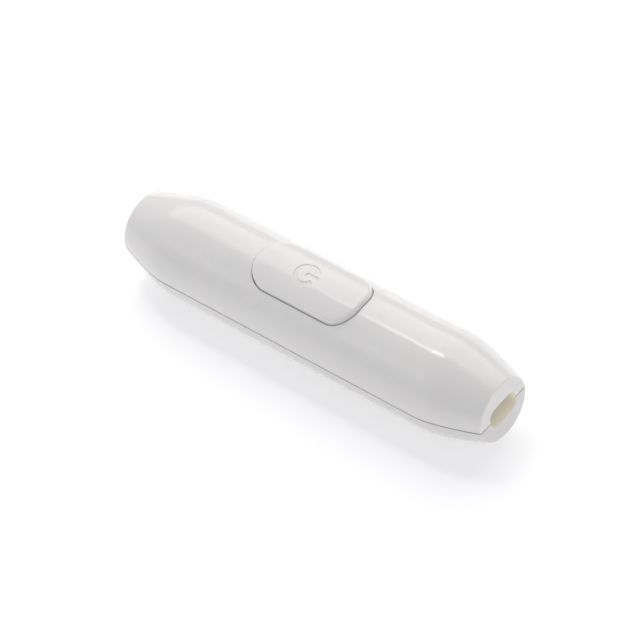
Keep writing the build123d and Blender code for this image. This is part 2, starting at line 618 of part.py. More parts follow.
with BuildPart() as pusher_pin:
    with BuildSketch(Plane.XZ):
        with Locations((0, PUSHER_PIN_Z)):
            Circle(PUSHER_PIN_RADIUS)
    extrude(amount=fork_y + FORK_PLATE_THICKNESS / 2, both=True)
save(pusher_pin, "pusher_pin")

# Rocker: hub with a detent cam, a plain arm under the claw and a window that carries the contact bridge
with BuildPart() as rocker:
    with BuildSketch(ROCKER_SIDE):
        Circle(ROCKER_HUB_RADIUS)
        with BuildLine():
            Polyline((-CAM_HALF_WIDTH, 0), (0, -CAM_DEPTH), (CAM_HALF_WIDTH, 0), close=True)
        make_face()
    extrude(amount=ROCKER_HUB_HALF_WIDTH, both=True)
    with BuildSketch(ROCKER_SIDE):
        Rectangle(ROCKER_ARM_LENGTH, 2 * ROCKER_ARM_HALF_HEIGHT, align=(Align.MIN, Align.CENTER))
    extrude(amount=ROCKER_ARM_HALF_WIDTH, both=True)
    with BuildSketch(ROCKER_SIDE):
        with Locations((WINDOW_X, 0)):
            Rectangle(WINDOW_WIDTH + 2 * WINDOW_RIM, 2 * (WINDOW_HALF_HEIGHT + WINDOW_RIM))
        with Locations((WINDOW_X / 2, 0)):
            Rectangle(-WINDOW_X, 2 * ROCKER_ARM_HALF_HEIGHT)
        with Locations((WINDOW_X, 0)):
            Rectangle(WINDOW_WIDTH, 2 * WINDOW_HALF_HEIGHT, mode=Mode.SUBTRACT)
    extrude(amount=CARRIER_HALF_WIDTH, both=True)
    with BuildSketch(ROCKER_SIDE):
        Circle(AXLE_RADIUS + AXLE_RUNNING_FIT)
    extrude(amount=ROCKER_HUB_HALF_WIDTH, both=True, mode=Mode.SUBTRACT)
save(rocker, "rocker")

with BuildPart() as contact_bridge:
    with BuildSketch(ROCKER_TOP.offset(-WINDOW_HALF_HEIGHT)):
        with Locations((WINDOW_X, 0)):
            RectangleRounded(WINDOW_WIDTH - 2 * BRIDGE_FIT, 2 * BRIDGE_HALF_LENGTH, WINDOW_WIDTH / 4)
    extrude(amount=BRIDGE_THICKNESS)
save(contact_bridge, "contact_bridge")

with BuildPart() as moving_contacts:
    with BuildSketch(ROCKER_TOP.offset(-WINDOW_HALF_HEIGHT)):
        with Locations((WINDOW_X, -CONTACT_Y), (WINDOW_X, CONTACT_Y)):
            Circle(CONTACT_RADIUS)
    extrude(amount=-CONTACT_THICKNESS)
save(moving_contacts, "moving_contacts")

with BuildPart() as bridge_spring:
    with BuildSketch(ROCKER_TOP.offset(BRIDGE_THICKNESS - WINDOW_HALF_HEIGHT)):
        with Locations((WINDOW_X, 0)):
            Circle(BRIDGE_SPRING_RADIUS)
            Circle(BRIDGE_SPRING_RADIUS - BRIDGE_SPRING_WIRE, mode=Mode.SUBTRACT)
    extrude(amount=2 * WINDOW_HALF_HEIGHT - BRIDGE_THICKNESS)
save(bridge_spring, "bridge_spring")
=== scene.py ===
import math

import bpy
from mathutils import Matrix, Vector


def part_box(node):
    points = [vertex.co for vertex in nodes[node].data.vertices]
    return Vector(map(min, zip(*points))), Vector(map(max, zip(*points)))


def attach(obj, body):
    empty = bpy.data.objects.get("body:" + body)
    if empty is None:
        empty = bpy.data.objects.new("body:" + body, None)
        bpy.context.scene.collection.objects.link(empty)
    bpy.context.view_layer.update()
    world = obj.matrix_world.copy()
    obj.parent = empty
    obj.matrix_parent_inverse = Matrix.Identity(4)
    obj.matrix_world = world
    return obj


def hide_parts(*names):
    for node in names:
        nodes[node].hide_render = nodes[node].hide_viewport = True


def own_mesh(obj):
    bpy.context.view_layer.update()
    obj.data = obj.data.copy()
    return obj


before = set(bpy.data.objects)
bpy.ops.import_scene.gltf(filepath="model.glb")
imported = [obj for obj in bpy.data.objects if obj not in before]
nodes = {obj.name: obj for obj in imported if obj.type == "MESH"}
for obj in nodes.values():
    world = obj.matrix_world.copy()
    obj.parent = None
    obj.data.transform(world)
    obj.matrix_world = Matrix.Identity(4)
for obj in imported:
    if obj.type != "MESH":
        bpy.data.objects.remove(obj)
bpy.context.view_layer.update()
scene = bpy.context.scene

# ---------------------------------------------------------------------------------------------------------
# Viewpoint. A long lens stands above the near right-hand cord mouth, rolled a little, so that the switch
# lies across the frame with its button towards the top left.
AZIMUTH = math.radians(49.88)
ELEVATION = math.radians(48.99)
ROLL = math.radians(-14.03)
DISTANCE = 0.6839
LENS_MM = 223.85
SENSOR_MM = 36
AIM_DOWN = 0.00111

shell_low, shell_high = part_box("upper_shell")
axis_z = shell_low.z
back = Vector(
    (
        math.sin(AZIMUTH) * math.cos(ELEVATION),
        -math.cos(AZIMUTH) * math.cos(ELEVATION),
        math.sin(ELEVATION),
    )
)
level_right = Vector((math.cos(AZIMUTH), math.sin(AZIMUTH), 0))
level_up = back.cross(level_right)
camera_right = math.cos(ROLL) * level_right + math.sin(ROLL) * level_up
camera_up = math.cos(ROLL) * level_up - math.sin(ROLL) * level_right
aim = Vector((0, 0, axis_z)) - camera_up * AIM_DOWN

camera_data = bpy.data.cameras.new("camera")
camera_data.lens = LENS_MM
camera_data.sensor_width = SENSOR_MM
camera = bpy.data.objects.new("camera", camera_data)
camera_turn = Matrix((camera_right, camera_up, back)).transposed().to_4x4()
camera.matrix_world = Matrix.Translation(aim + back * DISTANCE) @ camera_turn
scene.collection.objects.link(camera)
scene.camera = camera


# ---------------------------------------------------------------------------------------------------------
# Studio. A white table that glows a little and one wide softbox over the back, whose soft front edge shows
# along the crown. A short bright lamp at that edge makes the highlight on the right, and a weak cool fill
# lights the front.
def softbox(name, low, high, height, radiance, colour, fades):
    """A lamp facing down over low..high. A fade is an axis, where the glow is nil and how far to full."""
    size = (high[0] - low[0], high[1] - low[1])
    data = bpy.data.lights.new(name, "AREA")
    data.shape = "RECTANGLE"
    data.size, data.size_y = size
    data.energy = math.pi * size[0] * size[1]
    data.color = colour
    data.use_nodes = True
    tree = data.node_tree
    place = tree.nodes.new("ShaderNodeNewGeometry")
    split = tree.nodes.new("ShaderNodeSeparateXYZ")
    tree.links.new(place.outputs["Position"], split.inputs["Vector"])
    glow = tree.nodes.new("ShaderNodeValue")
    glow.outputs[0].default_value = radiance
    for label, start, width in fades:
        fade = tree.nodes.new("ShaderNodeMapRange")
        fade.interpolation_type = "SMOOTHSTEP"
        fade.inputs["From Min"].default_value = start
        fade.inputs["From Max"].default_value = start + width
        tree.links.new(split.outputs[label], fade.inputs["Value"])
        dimmed = tree.nodes.new("ShaderNodeMath")
        dimmed.operation = "MULTIPLY"
        tree.links.new(glow.outputs[0], dimmed.inputs[0])
        tree.links.new(fade.outputs["Result"], dimmed.inputs[1])
        glow = dimmed
    tree.links.new(glow.outputs[0], tree.nodes["Emission"].inputs["Strength"])
    lamp = bpy.data.objects.new(name, data)
    lamp.location = ((low[0] + high[0]) / 2, (low[1] + high[1]) / 2, height)
    scene.collection.objects.link(lamp)


WARM_GLOW = (1, 0.99, 0.965)
COOL_GLOW = (0.95, 0.95, 1)
OVER_LOW = (-1.1, 0.06)
OVER_HIGH = (0.3, 1.4)
OVER_HEIGHT = 0.6
OVER_GLOW = 1.4
OVER_FADES = [("Y", OVER_LOW[1], 0.10), ("X", OVER_HIGH[0], -0.3), ("X", OVER_LOW[0], 0.3)]
softbox("over", OVER_LOW, OVER_HIGH, OVER_HEIGHT, OVER_GLOW, WARM_GLOW, OVER_FADES)

HIGHLIGHT_LOW = (-0.36, 0.085)
HIGHLIGHT_HIGH = (-0.12, 0.18)
HIGHLIGHT_HEIGHT = 0.59
HIGHLIGHT_GLOW = 9.0
HIGHLIGHT_FADES = [("X", HIGHLIGHT_LOW[0], 0.13), ("Y", HIGHLIGHT_HIGH[1], -0.07)]
softbox(
    "highlight",
    HIGHLIGHT_LOW,
    HIGHLIGHT_HIGH,
    HIGHLIGHT_HEIGHT,
    HIGHLIGHT_GLOW,
    WARM_GLOW,
    HIGHLIGHT_FADES,
)

FILL_LOW = (-1.0, -0.9)
FILL_HIGH = (-0.25, -0.35)
FILL_GLOW = 0.6
FILL_FADES = [("Y", FILL_HIGH[1], -0.2)]
softbox("front_fill", FILL_LOW, FILL_HIGH, OVER_HEIGHT, FILL_GLOW, COOL_GLOW, FILL_FADES)

ROOM_COLOUR = (0.965, 0.955, 1, 1)
ROOM_GLOW = 0.55
world = bpy.data.worlds.new("room")
world.use_nodes = True
room_light = world.node_tree.nodes["Background"]
room_light.inputs["Color"].default_value = ROOM_COLOUR
room_light.inputs["Strength"].default_value = ROOM_GLOW
scene.world = world
scene.view_settings.view_transform = "Standard"

TABLE_SIZE = 6
TABLE_PAINT = {
    "Base Color": (0.9, 0.9, 0.9, 1),
    "Roughness": 0.9,
    "Specular IOR Level": 0.1,
    "Emission Color": (1, 1, 1, 1),
    "Emission Strength": 0.3,
}
bpy.ops.mesh.primitive_plane_add(size=TABLE_SIZE, location=(0, 0, 0))
table = bpy.context.object
table.name = "table"
table_paint = bpy.data.materials.new("table_paint")
table_paint.use_nodes = True
table_shader = table_paint.node_tree.nodes["Principled BSDF"]
for label, value in TABLE_PAINT.items():
    table_shader.inputs[label].default_value = value
table.data.materials.append(table_paint)


# ---------------------------------------------------------------------------------------------------------
# Lower half of the housing. Injection moulded in white ABS with a polished skin, with a flat foot
# underneath.
# Its white is painted a shade greyer than the upper half's, as painted shade on the underside. The parting
# groove is painted dark tan for dust and painted shade, and the cord mouths carry painted warm bounce light
# and a painted glow.
def make_group(name, inputs, outputs):
    """A shader node group with named sockets, its input node and its output node."""
    group = bpy.data.node_groups.new(name, "ShaderNodeTree")
    for label, kind, value in inputs:
        group.interface.new_socket(label, in_out="INPUT", socket_type=kind).default_value = value
    for label, kind in outputs:
        group.interface.new_socket(label, in_out="OUTPUT", socket_type=kind)
    return group, group.nodes.new("NodeGroupInput"), group.nodes.new("NodeGroupOutput")


def plug(tree, socket, value):
    """Link a socket's source, or set its own value."""
    if isinstance(value, bpy.types.NodeSocket):
        tree.links.new(value, socket)
    else:
        socket.default_value = value


def calculate(tree, operation, *values):
    """A Math node on sockets or numbers."""
    node = tree.nodes.new("ShaderNodeMath")
    node.operation = operation
    for socket, value in zip(node.inputs, values):
        plug(tree, socket, value)
    return node.outputs[0]


def noise(tree, scale, detail, stretch=(1, 1, 1)):
    """Noise over the piece's own object coordinates, in metres."""
    coordinates = tree.nodes.new("ShaderNodeTexCoord")
    mapping = tree.nodes.new("ShaderNodeMapping")
    mapping.inputs["Scale"].default_value = stretch
    tree.links.new(coordinates.outputs["Object"], mapping.inputs["Vector"])
    node = tree.nodes.new("ShaderNodeTexNoise")
    node.inputs["Detail"].default_value = detail
    plug(tree, node.inputs["Scale"], scale)
    tree.links.new(mapping.outputs["Vector"], node.inputs["Vector"])
    return node.outputs["Fac"]


def spread(tree, value, low, high, start, end):
    """Map Range from low..high to start..end, held at both ends."""
    node = tree.nodes.new("ShaderNodeMapRange")
    labels = ("Value", "From Min", "From Max", "To Min", "To Max")
    for label, number in zip(labels, (value, low, high, start, end)):
        plug(tree, node.inputs[label], number)
    return node.outputs["Result"]


def mix_colours(tree, share, first, second):
    """Mix two colours by a mask."""
    node = tree.nodes.new("ShaderNodeMix")
    node.data_type = "RGBA"
    sockets = {socket.identifier: socket for socket in node.inputs}
    plug(tree, sockets["Factor_Float"], share)
    plug(tree, sockets["A_Color"], first)
    plug(tree, sockets["B_Color"], second)
    return {socket.identifier: socket for socket in node.outputs}["Result_Color"]


FINISH_INPUTS = [
    ("Colour", "NodeSocketColor", (1, 1, 1, 1)),
    ("Shade", "NodeSocketColor", (1, 1, 1, 1)),
    ("Smooth", "NodeSocketFloat", 0.1),
    ("Dull", "NodeSocketFloat", 0.3),
    ("Patch Scale", "NodeSocketFloat", 90.0),
    ("Grain Scale", "NodeSocketFloat", 2500.0),
]
FINISH_OUTPUTS = [
    ("Colour", "NodeSocketColor"),
    ("Roughness", "NodeSocketFloat"),
    ("Height", "NodeSocketFloat"),
]

NOISE_LOW = 0.3
NOISE_HIGH = 0.7
FLOW_DETAIL = 3.0
FLOW_SHARE = 0.8
FLOW_RELIEF = 0.7
GRAIN_DETAIL = 4.0
GRAIN_SHARE = 0.2
GRAIN_RELIEF = 0.3
SMEAR_DETAIL = 6.0
SMEAR_STRETCH = (1, 2.5, 2.5)
SMEAR_LOW = 0.35

moulded_finish, moulded_in, moulded_out = make_group("moulded_finish", FINISH_INPUTS, FINISH_OUTPUTS)
moulding = moulded_in.outputs
flow = noise(moulded_finish, moulding["Patch Scale"], FLOW_DETAIL)
grain = noise(moulded_finish, moulding["Grain Scale"], GRAIN_DETAIL)
smears = noise(moulded_finish, moulding["Patch Scale"], SMEAR_DETAIL, SMEAR_STRETCH)
flow_tone = spread(moulded_finish, flow, NOISE_LOW, NOISE_HIGH, 0, FLOW_SHARE)
grain_tone = spread(moulded_finish, grain, NOISE_LOW, NOISE_HIGH, 0, GRAIN_SHARE)
tone = calculate(moulded_finish, "ADD", flow_tone, grain_tone)
tinted = mix_colours(moulded_finish, tone, moulding["Colour"], moulding["Shade"])
rough = spread(moulded_finish, smears, SMEAR_LOW, NOISE_HIGH, moulding["Smooth"], moulding["Dull"])
grain_height = calculate(moulded_finish, "MULTIPLY", grain, GRAIN_RELIEF)
relief = calculate(moulded_finish, "MULTIPLY_ADD", flow, FLOW_RELIEF, grain_height)
moulded_finish.links.new(tinted, moulded_out.inputs["Colour"])
moulded_finish.links.new(rough, moulded_out.inputs["Roughness"])
moulded_finish.links.new(relief, moulded_out.inputs["Height"])


def finished(name, finish, values, relief_depth, settings):
    """A Principled material whose colour, roughness and relief come from a finish group."""
    material = bpy.data.materials.new(name)
    material.use_nodes = True
    tree = material.node_tree
    shader = tree.nodes["Principled BSDF"]
    for label, value in settings.items():
        shader.inputs[label].default_value = value
    group = tree.nodes.new("ShaderNodeGroup")
    group.node_tree = finish
    for label, value in values.items():
        group.inputs[label].default_value = value
    bump = tree.nodes.new("ShaderNodeBump")
    bump.inputs["Distance"].default_value = relief_depth
    tree.links.new(group.outputs["Height"], bump.inputs["Height"])
    tree.links.new(bump.outputs["Normal"], shader.inputs["Normal"])
    tree.links.new(group.outputs["Colour"], shader.inputs["Base Color"])
    tree.links.new(group.outputs["Roughness"], shader.inputs["Roughness"])
    return material


WHITE_SKIN = {
    "Colour": (0.83, 0.825, 0.805, 1),
    "Shade": (0.80, 0.795, 0.78, 1),
    "Smooth": 0.10,
    "Dull": 0.16,
    "Patch Scale": 70.0,
    "Grain Scale": 3200.0,
}
WHITE_PLASTIC = {
    "IOR": 1.53,
    "Subsurface Weight": 0.8,
    "Subsurface Radius": (1.0, 0.92, 0.8),
    "Subsurface Scale": 0.0008,
}
SKIN_RELIEF = 0.000004
# Painted light in the shell plastic: warm bounce light and a glow painted into the cord mouths, and dark tan
# for dust and shade painted into the parting groove.
PAINTED_BOUNCE_CREAM = (0.82, 0.78, 0.66, 1)
PAINTED_GLOW_COLOUR = (1, 0.95, 0.84, 1)
PAINTED_MOUTH_GLOW = 0.16
GROOVE_DUST_AND_SHADE = (0.46, 0.40, 0.34, 1)
MOUTH_REACH = 0.0046
MOUTH_LIP = 0.00012
GROOVE_HALF = 0.00012
MASK_BLUR = 0.00003


def shell_plastic(name, skin):
    """White plastic with dust and painted shade in the parting groove, and painted warm bounce light and a
    painted glow in the cord mouths.
    """
    material = finished(name, moulded_finish, skin, SKIN_RELIEF, WHITE_PLASTIC)
    tree = material.node_tree
    shader = tree.nodes["Principled BSDF"]
    place = tree.nodes.new("ShaderNodeTexCoord")
    split = tree.nodes.new("ShaderNodeSeparateXYZ")
    tree.links.new(place.outputs["Object"], split.inputs["Vector"])
    along = calculate(tree, "ABSOLUTE", split.outputs["X"])
    across = split.outputs["Y"]
    rise = calculate(tree, "SUBTRACT", split.outputs["Z"], axis_z)
    across_squared = calculate(tree, "MULTIPLY", across, across)
    off_axis = calculate(tree, "SQRT", calculate(tree, "MULTIPLY_ADD", rise, rise, across_squared))
    lip_x = shell_high.x - MOUTH_LIP
    within_lip = spread(tree, along, lip_x - MASK_BLUR, lip_x, 1, 0)
    near_axis = spread(tree, off_axis, MOUTH_REACH, MOUTH_REACH + MASK_BLUR, 1, 0)
    in_mouth_painted_light = calculate(tree, "MULTIPLY", within_lip, near_axis)
    off_parting = calculate(tree, "ABSOLUTE", rise)
    in_groove = spread(tree, off_parting, GROOVE_HALF, GROOVE_HALF + MASK_BLUR, 1, 0)
    skin_colour = shader.inputs["Base Color"].links[0].from_socket
    # Dust and painted shade: the parting groove between the shells is coloured dark tan.
    dusty_and_shaded = mix_colours(tree, in_groove, skin_colour, GROOVE_DUST_AND_SHADE)
    # Painted warm bounce light: the cord mouths are coloured cream.
    painted_bounce = mix_colours(tree, in_mouth_painted_light, dusty_and_shaded, PAINTED_BOUNCE_CREAM)
    tree.links.new(painted_bounce, shader.inputs["Base Color"])
    # Painted glow: the cord mouths give off light of their own, though they are no lamp.
    shader.inputs["Emission Color"].default_value = PAINTED_GLOW_COLOUR
    painted_mouth_glow = calculate(tree, "MULTIPLY", in_mouth_painted_light, PAINTED_MOUTH_GLOW)
    tree.links.new(painted_mouth_glow, shader.inputs["Emission Strength"])
    return material


# Painted shade: the lower half's copy of the white is darker and greyer to stand in for less light
# underneath.
SHADED_LOWER_SKIN = dict(WHITE_SKIN, Colour=(0.765, 0.76, 0.75, 1), Shade=(0.735, 0.73, 0.72, 1))
nodes["lower_shell"].data.materials[0] = shell_plastic("lower_plastic_shaded", SHADED_LOWER_SKIN)

# ---------------------------------------------------------------------------------------------------------
# Contact base. A moulded tray of cream urea resin that drops on the lower half's seats. Its cheeks carry the
# rocker's axle, a well holds the detent spring, and its pegs locate the return springs.
UREA_SKIN = {
    "Colour": (0.66, 0.62, 0.50, 1),
    "Shade": (0.58, 0.54, 0.43, 1),
    "Smooth": 0.3,
    "Dull": 0.5,
    "Patch Scale": 120.0,
    "Grain Scale": 4000.0,
}
RESIN_RELIEF = 0.00001
urea_resin = finished("urea_resin", moulded_finish, UREA_SKIN, RESIN_RELIEF, {"IOR": 1.55})
nodes["contact_base"].data.materials[0] = urea_resin


# ---------------------------------------------------------------------------------------------------------
# Terminals and neutral link. Brass pillars at both ends of the base. Strips lead from two of them to the
# fixed contacts, and the link joins the other two. The brass has rolling marks and tarnishes in patches.
TARNISH_DETAIL = 5.0
TARNISH_LOW = 0.4
STREAK_DETAIL = 3.0
STREAK_STRETCH = (0.05, 1, 1)
STREAK_ROUGHNESS = 0.1

drawn_finish, drawn_in, drawn_out = make_group("drawn_finish", FINISH_INPUTS, FINISH_OUTPUTS)
drawing = drawn_in.outputs
tarnish = noise(drawn_finish, drawing["Patch Scale"], TARNISH_DETAIL)
streaks = noise(drawn_finish, drawing["Grain Scale"], STREAK_DETAIL, STREAK_STRETCH)
dull_spots = spread(drawn_finish, tarnish, TARNISH_LOW, NOISE_HIGH, 0, 1)
metal_tone = mix_colours(drawn_finish, dull_spots, drawing["Colour"], drawing["Shade"])
dulled = spread(drawn_finish, tarnish, NOISE_LOW, NOISE_HIGH, drawing["Smooth"], drawing["Dull"])
metal_rough = calculate(drawn_finish, "MULTIPLY_ADD", streaks, STREAK_ROUGHNESS, dulled)
drawn_finish.links.new(metal_tone, drawn_out.inputs["Colour"])
drawn_finish.links.new(metal_rough, drawn_out.inputs["Roughness"])
drawn_finish.links.new(streaks, drawn_out.inputs["Height"])

BRASS_FINISH = {
    "Colour": (0.78, 0.58, 0.29, 1),
    "Shade": (0.60, 0.42, 0.20, 1),
    "Smooth": 0.22,
    "Dull": 0.42,
    "Patch Scale": 260.0,
    "Grain Scale": 5000.0,
}
METAL_RELIEF = 0.000003
brass = finished("rolled_brass", drawn_finish, BRASS_FINISH, METAL_RELIEF, {"Metallic": 1.0})
for strip in ("line_in_terminal", "line_out_terminal", "neutral_link"):
    nodes[strip].data.materials[0] = brass

# ---------------------------------------------------------------------------------------------------------
# Fixed contacts. Two buttons of silver alloy under the ends of the bridge, riveted through the ends of the
# brass strips and dulled by arcing.
SILVER_FINISH = {
    "Colour": (0.86, 0.85, 0.82, 1),
    "Shade": (0.60, 0.57, 0.52, 1),
    "Smooth": 0.2,
    "Dull": 0.5,
    "Patch Scale": 900.0,
    "Grain Scale": 6000.0,
}
silver = finished("contact_silver", drawn_finish, SILVER_FINISH, METAL_RELIEF, {"Metallic": 1.0})
nodes["fixed_contacts"].data.materials[0] = silver


# ---------------------------------------------------------------------------------------------------------
# Terminal screws. Slotted cheese-head machine screws of zinc-plated steel, one in each terminal pillar,
# driven from above. All the screws share one pattern: a shank with a rolled thread and a slotted or
# crossed head.
def grown(name, tree, values):
    """A plain mesh object made by a Geometry Nodes tree with these values."""
    piece = bpy.data.objects.new(name, bpy.data.meshes.new(name))
    scene.collection.objects.link(piece)
    modifier = piece.modifiers.new(name, "NODES")
    modifier.node_group = tree
    for item in tree.interface.items_tree:
        if item.name in values:
            modifier[item.identifier] = values[item.name]
    evaluated = piece.evaluated_get(bpy.context.evaluated_depsgraph_get())
    mesh = bpy.data.meshes.new_from_object(evaluated)
    piece.modifiers.remove(modifier)
    piece.data = mesh
    return piece


def make_growth(name, inputs):
    """A Geometry Nodes tree with named inputs, its input node and its output node."""
    tree = bpy.data.node_groups.new(name, "GeometryNodeTree")
    tree.interface.new_socket("Geometry", in_out="OUTPUT", socket_type="NodeSocketGeometry")
    for label, kind in inputs:
        tree.interface.new_socket(label, in_out="INPUT", socket_type=kind)
    return tree, tree.nodes.new("NodeGroupInput"), tree.nodes.new("NodeGroupOutput")


def add_node(tree, kind, inputs, settings=None):
    """A node with its settings made and its sockets linked or set."""
    node = tree.nodes.new(kind)
    for label, value in (settings or {}).items():
        setattr(node, label, value)
    for label, value in inputs.items():
        plug(tree, node.inputs[label], value)
    return node


def vector_of(tree, x, y, z):
    """A Combine XYZ node's vector."""
    return add_node(tree, "ShaderNodeCombineXYZ", {"X": x, "Y": y, "Z": z}).outputs["Vector"]


SCREW_INPUTS = [
    ("Shank Radius", "NodeSocketFloat"),
    ("Shank Length", "NodeSocketFloat"),
    ("Thread Depth", "NodeSocketFloat"),
    ("Pitch", "NodeSocketFloat"),
    ("Head Radius", "NodeSocketFloat"),
    ("Head Height", "NodeSocketFloat"),
    ("Slot Length", "NodeSocketFloat"),
    ("Cross Length", "NodeSocketFloat"),
    ("Slot Width", "NodeSocketFloat"),
    ("Slot Depth", "NodeSocketFloat"),
    ("First Tip", "NodeSocketVector"),
    ("Second Tip", "NodeSocketVector"),
    ("Turn", "NodeSocketVector"),
    ("Material", "NodeSocketMaterial"),
]
SIDES = 40
STEPS_PER_PITCH = 10
HEAD_STEPS = 8
HEAD_ROUNDING = 0.16
ROUNDING_POWER = 6.0
CREST_HALF = 0.06
ROOT_START = 0.38
RUN_IN = 0.8
SHARP_ANGLE = math.radians(35)

screw_growth, screw_in, screw_out = make_growth("screw_growth", SCREW_INPUTS)
wanted = screw_in.outputs
core_radius = calculate(screw_growth, "SUBTRACT", wanted["Shank Radius"], wanted["Thread Depth"])
turns = calculate(screw_growth, "DIVIDE", wanted["Shank Length"], wanted["Pitch"])
shank = add_node(
    screw_growth,
    "GeometryNodeMeshCylinder",
    {
        "Vertices": SIDES,
        "Side Segments": calculate(screw_growth, "MULTIPLY", turns, STEPS_PER_PITCH),
        "Radius": core_radius,
        "Depth": wanted["Shank Length"],
    },
)
shank_middle = calculate(screw_growth, "MULTIPLY", wanted["Shank Length"], 0.5)
raised_shank = add_node(
    screw_growth,
    "GeometryNodeTransform",
    {"Geometry": shank.outputs["Mesh"], "Translation": vector_of(screw_growth, 0, 0, shank_middle)},
)
position = screw_growth.nodes.new("GeometryNodeInputPosition").outputs["Position"]
spot = add_node(screw_growth, "ShaderNodeSeparateXYZ", {"Vector": position}).outputs
bearing = calculate(screw_growth, "ARCTAN2", spot["Y"], spot["X"])
climbed = calculate(screw_growth, "DIVIDE", spot["Z"], wanted["Pitch"])
wound_back = calculate(screw_growth, "MULTIPLY_ADD", bearing, -1 / (2 * math.pi), climbed)
phase = calculate(screw_growth, "FRACT", wound_back)
off_crest = calculate(screw_growth, "ABSOLUTE", calculate(screw_growth, "SUBTRACT", phase, 0.5))
crest = spread(screw_growth, off_crest, CREST_HALF, ROOT_START, 1, 0)
below_head = calculate(screw_growth, "SUBTRACT", wanted["Shank Length"], spot["Z"])
run_in = calculate(screw_growth, "MULTIPLY", wanted["Pitch"], RUN_IN)
past_tip = spread(screw_growth, spot["Z"], 0, run_in, 0, 1)
short_of_head = spread(screw_growth, below_head, 0, run_in, 0, 1)
crest_started = calculate(screw_growth, "MULTIPLY", crest, past_tip)
crest_faded = calculate(screw_growth, "MULTIPLY", crest_started, short_of_head)
crest_height = calculate(screw_growth, "MULTIPLY", crest_faded, wanted["Thread Depth"])
outwards = add_node(
    screw_growth,
    "ShaderNodeVectorMath",
    {0: vector_of(screw_growth, spot["X"], spot["Y"], 0)},
    {"operation": "NORMALIZE"},
).outputs[0]
ridge = add_node(
    screw_growth, "ShaderNodeVectorMath", {0: outwards, "Scale": crest_height}, {"operation": "SCALE"}
)
threaded = add_node(
    screw_growth,
    "GeometryNodeSetPosition",
    {"Geometry": raised_shank.outputs["Geometry"], "Offset": ridge.outputs[0]},
)
blank = add_node(
    screw_growth,
    "GeometryNodeMeshCylinder",
    {
        "Vertices": SIDES,
        "Side Segments": HEAD_STEPS,
        "Radius": wanted["Head Radius"],
        "Depth": wanted["Head Height"],
    },
)
off_middle = calculate(screw_growth, "DIVIDE", spot["Z"], wanted["Head Height"])
head_share = calculate(screw_growth, "ADD", off_middle, 0.5)
rounding = calculate(screw_growth, "POWER", head_share, ROUNDING_POWER)
most_narrowing = calculate(screw_growth, "MULTIPLY", wanted["Head Radius"], -HEAD_ROUNDING)
head_narrowing = calculate(screw_growth, "MULTIPLY", rounding, most_narrowing)
head_pull = add_node(
    screw_growth, "ShaderNodeVectorMath", {0: outwards, "Scale": head_narrowing}, {"operation": "SCALE"}
)
domed = add_node(
    screw_growth,
    "GeometryNodeSetPosition",
    {"Geometry": blank.outputs["Mesh"], "Offset": head_pull.outputs[0]},
)
slot_height = calculate(screw_growth, "MULTIPLY", wanted["Slot Depth"], 2.0)
head_top = calculate(screw_growth, "MULTIPLY", wanted["Head Height"], 0.5)
cutters = []
for long_side, short_side in (("Slot Length", "Slot Width"), ("Slot Width", "Cross Length")):
    bar = add_node(
        screw_growth,
        "GeometryNodeMeshCube",
        {"Size": vector_of(screw_growth, wanted[long_side], wanted[short_side], slot_height)},
    )
    cutter = add_node(
        screw_growth,
        "GeometryNodeTransform",
        {"Geometry": bar.outputs["Mesh"], "Translation": vector_of(screw_growth, 0, 0, head_top)},
    )
    cutters.append(cutter.outputs["Geometry"])
slotted = add_node(
    screw_growth,
    "GeometryNodeMeshBoolean",
    {"Self Intersection": True},
    {"operation": "DIFFERENCE", "solver": "EXACT"},
)
screw_growth.links.new(domed.outputs["Geometry"], slotted.inputs["Mesh 1"])
for cutter in cutters:
    screw_growth.links.new(cutter, slotted.inputs["Mesh 2"])
head_middle = calculate(screw_growth, "ADD", wanted["Shank Length"], head_top)
seated = add_node(
    screw_growth,
    "GeometryNodeTransform",
    {"Geometry": slotted.outputs["Mesh"], "Translation": vector_of(screw_growth, 0, 0, head_middle)},
)
screw = screw_growth.nodes.new("GeometryNodeJoinGeometry")
screw_growth.links.new(threaded.outputs["Geometry"], screw.inputs["Geometry"])
screw_growth.links.new(seated.outputs["Geometry"], screw.inputs["Geometry"])
edge_angle = screw_growth.nodes.new("GeometryNodeInputMeshEdgeAngle").outputs["Unsigned Angle"]
rounded = add_node(
    screw_growth,
    "GeometryNodeSetShadeSmooth",
    {"Geometry": screw.outputs["Geometry"], "Shade Smooth": True},
)
crisp = add_node(
    screw_growth,
    "GeometryNodeSetShadeSmooth",
    {
        "Geometry": rounded.outputs["Geometry"],
        "Selection": calculate(screw_growth, "GREATER_THAN", edge_angle, SHARP_ANGLE),
        "Shade Smooth": False,
    },
    {"domain": "EDGE"},
)
tips = add_node(
    screw_growth,
    "GeometryNodeMeshLine",
    {"Count": 2, "Start Location": wanted["First Tip"], "Offset": wanted["Second Tip"]},
    {"mode": "END_POINTS"},
)
placed = add_node(
    screw_growth,
    "GeometryNodeInstanceOnPoints",
    {
        "Points": tips.outputs["Mesh"],
        "Instance": crisp.outputs["Geometry"],
        "Rotation": wanted["Turn"],
    },
)
real = add_node(
    screw_growth, "GeometryNodeRealizeInstances", {"Geometry": placed.outputs["Instances"]}
)
coated = add_node(
    screw_growth,
    "GeometryNodeSetMaterial",
    {"Geometry": real.outputs["Geometry"], "Material": wanted["Material"]},
)
screw_growth.links.new(coated.outputs["Geometry"], screw_out.inputs["Geometry"])

ZINC_FINISH = {
    "Colour": (0.72, 0.73, 0.76, 1),
    "Shade": (0.56, 0.55, 0.55, 1),
    "Smooth": 0.2,
    "Dull": 0.42,
    "Patch Scale": 500.0,
    "Grain Scale": 5000.0,
}
zinc_steel = finished("zinc_plated_steel", drawn_finish, ZINC_FINISH, METAL_RELIEF, {"Metallic": 1.0})


